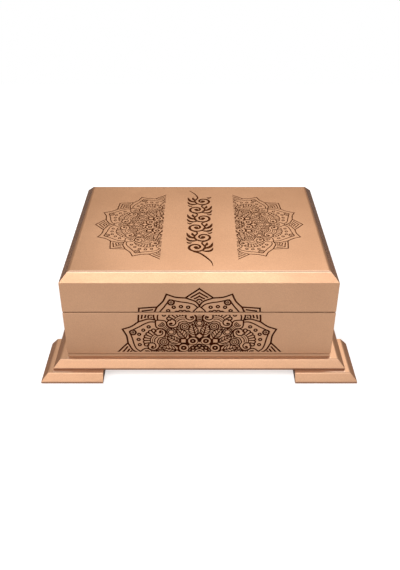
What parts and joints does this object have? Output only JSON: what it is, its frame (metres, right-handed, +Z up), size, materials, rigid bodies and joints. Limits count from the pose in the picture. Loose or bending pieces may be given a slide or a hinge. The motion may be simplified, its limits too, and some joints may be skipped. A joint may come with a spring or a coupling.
{
  "type": "quran box",
  "caption": "Low rectangular keepsake box for a holy book, on a stepped plinth with bevelled corner feet, with a bevelled lid that turns back on rear stop hinges.",
  "frame": {"origin": "on the ground, under the middle of the box's width and depth", "axes": "+Z up, -Y out of the front, +X to the viewer's right when facing the front"},
  "size_m": [0.357, 0.281, 0.129],
  "materials": {
    "gold_paint": "satin champagne-gold metallic paint on board",
    "hinge_brass": "satin",
    "hinge_pin": "drawn, bright"
  },
  "bodies": {
    "box": {"foot_front_left": "gold_paint", "foot_front_right": "gold_paint", "foot_back_left": "gold_paint", "foot_back_right": "gold_paint", "plinth_board": "gold_paint", "floor_panel": "gold_paint", "box_front_wall": "gold_paint", "box_back_wall": "gold_paint", "box_left_wall": "gold_paint", "box_right_wall": "gold_paint", "hinge_left_box_leaf": "hinge_brass", "hinge_left_pin": "hinge_pin", "hinge_right_box_leaf": "hinge_brass", "hinge_right_pin": "hinge_pin", "box_hinge_screws": "hinge_brass"},
    "lid": {"lid_front_rail": "gold_paint", "lid_back_rail": "gold_paint", "lid_left_rail": "gold_paint", "lid_right_rail": "gold_paint", "lid_top_panel": "gold_paint", "hinge_left_lid_leaf": "hinge_brass", "hinge_right_lid_leaf": "hinge_brass", "lid_hinge_screws": "hinge_brass"}
  },
  "joints": [
    {"name": "lid_hinge", "type": "hinge", "parent": "box", "child": "lid", "pos_m": [0, 0.1199, 0.0812], "axis": [-1, 0, 0], "range_deg": [0, 95]}
  ]
}
